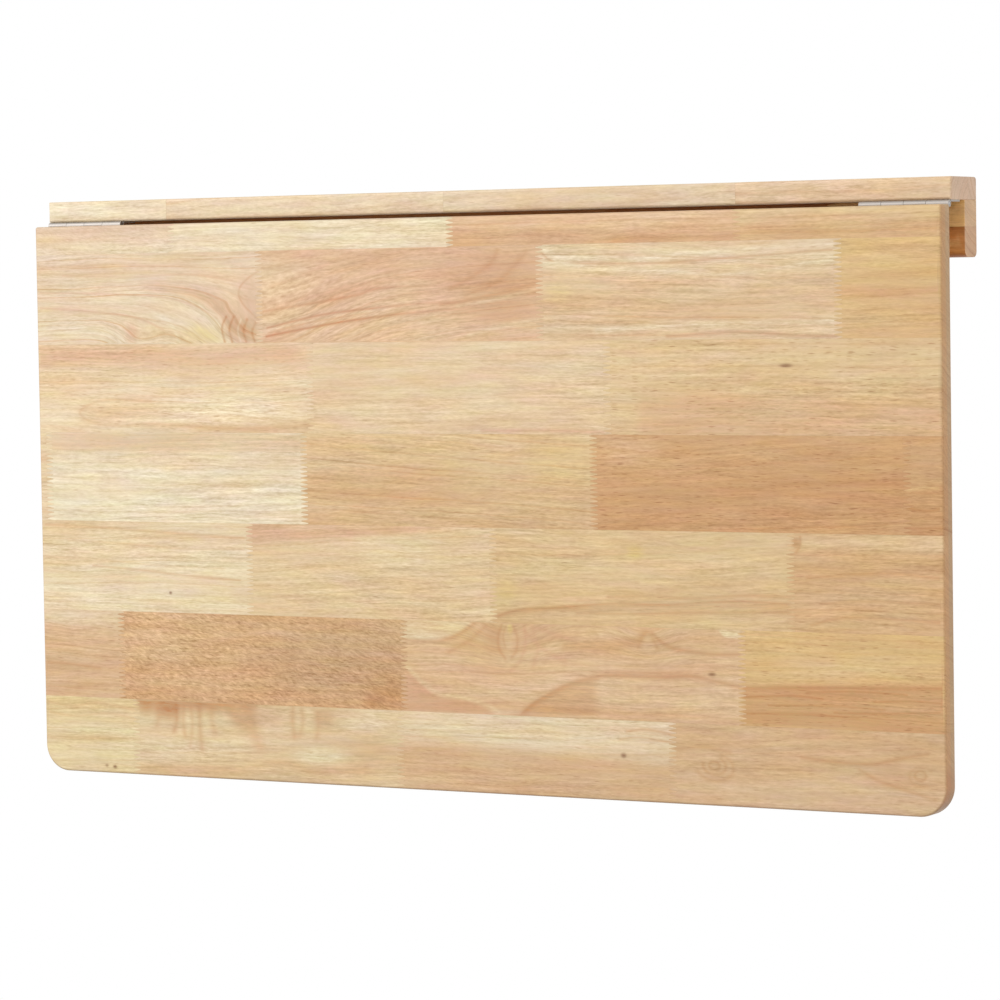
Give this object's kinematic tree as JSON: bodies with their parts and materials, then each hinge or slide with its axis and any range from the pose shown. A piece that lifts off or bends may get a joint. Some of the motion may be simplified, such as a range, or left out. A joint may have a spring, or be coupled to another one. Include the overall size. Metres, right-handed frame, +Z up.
{
  "type": "wall mounted drop leaf table",
  "caption": "Wall mounted drop leaf table: a finger-jointed wooden leaf hinged to a fixed strip and wall cleat, held up by folding steel knee braces.",
  "frame": {"origin": "on the wall plane, at the middle of the cleat's row of wall-screw holes", "axes": "+X to the right for someone facing the table, +Y into the wall, +Z up; the leaf hangs on the -Y side"},
  "size_m": [0.9, 0.074, 0.5229],
  "materials": {
    "leaf_wood": "satin lacquered finger-jointed rubberwood",
    "strip_wood": "satin lacquered finger-jointed rubberwood",
    "cleat_wood": "satin lacquered rubberwood",
    "batten_wood": "satin lacquered rubberwood",
    "dowel_wood": "fluted hardwood dowel, unfinished",
    "hinge_steel": "bright nickel-plated steel",
    "brace_steel": "zinc-plated pressed steel",
    "screw_steel": "zinc-plated, cross recess",
    "rivet_steel": "turned steel rivets and pins",
    "washer_nylon": "natural nylon"
  },
  "bodies": {
    "wall_side": {"top_strip": "strip_wood", "wall_cleat": "cleat_wood", "wall_batten_left": "batten_wood", "wall_batten_right": "batten_wood", "strip_dowels": "dowel_wood", "batten_dowels": "dowel_wood", "strip_screws": "screw_steel", "hinge_strip_plate_left": "hinge_steel", "hinge_strip_plate_right": "hinge_steel", "hinge_strip_screws": "screw_steel", "hinge_pin_left": "hinge_steel", "hinge_pin_right": "hinge_steel", "wall_bracket_left": "brace_steel", "wall_bracket_right": "brace_steel", "wall_bracket_screws": "screw_steel", "wall_pivot_left": "rivet_steel", "wall_pivot_right": "rivet_steel", "wall_pivot_washers": "washer_nylon", "brace_stop_pins": "rivet_steel"},
    "leaf": {"drop_leaf": "leaf_wood", "hinge_leaf_plate_left": "hinge_steel", "hinge_leaf_plate_right": "hinge_steel", "hinge_leaf_screws": "screw_steel", "leaf_bracket_left": "brace_steel", "leaf_bracket_right": "brace_steel", "leaf_bracket_screws": "screw_steel", "leaf_pivot_left": "rivet_steel", "leaf_pivot_right": "rivet_steel", "leaf_pivot_washers": "washer_nylon"},
    "lower_link_left": {"lower_link_left": "brace_steel", "knee_rivet_inner_left": "rivet_steel"},
    "upper_link_left": {"upper_link_left": "brace_steel", "knee_rivet_outer_left": "rivet_steel"},
    "lower_link_right": {"lower_link_right": "brace_steel", "knee_rivet_inner_right": "rivet_steel"},
    "upper_link_right": {"upper_link_right": "brace_steel", "knee_rivet_outer_right": "rivet_steel"}
  },
  "joints": [
    {"name": "leaf_hinge", "type": "hinge", "parent": "wall_side", "child": "leaf", "pos_m": [0, -0.052, 0.0205], "axis": [-1, 0, 0], "range_deg": [0, 90]},
    {"name": "lower_link_swing_left", "type": "hinge", "parent": "wall_side", "child": "lower_link_left", "pos_m": [-0.335, -0.04, -0.1495], "axis": [1, 0, 0], "range_deg": [0, 58.93]},
    {"name": "upper_link_swing_left", "type": "hinge", "parent": "leaf", "child": "upper_link_left", "pos_m": [-0.335, -0.04, -0.2195], "axis": [-1, 0, 0], "range_deg": [0, 32.72]},
    {"name": "lower_link_swing_right", "type": "hinge", "parent": "wall_side", "child": "lower_link_right", "pos_m": [0.335, -0.04, -0.1495], "axis": [1, 0, 0], "range_deg": [0, 58.93]},
    {"name": "upper_link_swing_right", "type": "hinge", "parent": "leaf", "child": "upper_link_right", "pos_m": [0.335, -0.04, -0.2195], "axis": [-1, 0, 0], "range_deg": [0, 32.72]}
  ],
  "couplings": [
    {"joint": "lower_link_swing_left", "follows": "leaf_hinge", "ratio": 0.65467},
    {"joint": "upper_link_swing_left", "follows": "leaf_hinge", "ratio": 0.36345},
    {"joint": "lower_link_swing_right", "follows": "leaf_hinge", "ratio": 0.65467},
    {"joint": "upper_link_swing_right", "follows": "leaf_hinge", "ratio": 0.36345}
  ]
}
